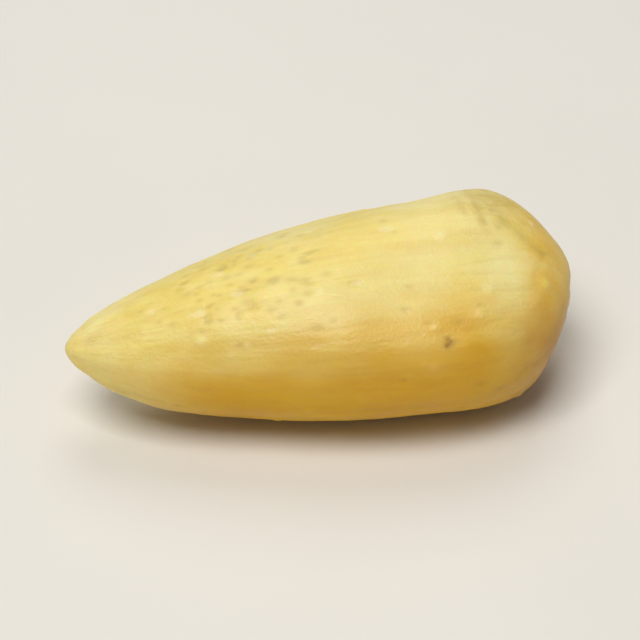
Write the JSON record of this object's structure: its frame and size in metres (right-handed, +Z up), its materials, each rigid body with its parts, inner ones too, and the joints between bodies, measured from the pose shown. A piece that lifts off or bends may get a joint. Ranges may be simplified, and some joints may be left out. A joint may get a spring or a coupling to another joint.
{
  "type": "pine nut kernel",
  "caption": "Shelled pine nut kernel lying on its side: a cream teardrop with a pointed tip, flattened sides and a blunt, slanted end with a shallow scar.",
  "frame": {"origin": "on the surface that the kernel lies on, under the middle of its box", "axes": "+X along the kernel from its point to its blunt end, +Y away from the viewer, +Z up from the surface it lies on"},
  "size_m": [0.0134, 0.006, 0.0051],
  "materials": {
    "kernel_flesh": null
  },
  "bodies": {
    "root": {"kernel": "kernel_flesh"}
  },
  "joints": []
}
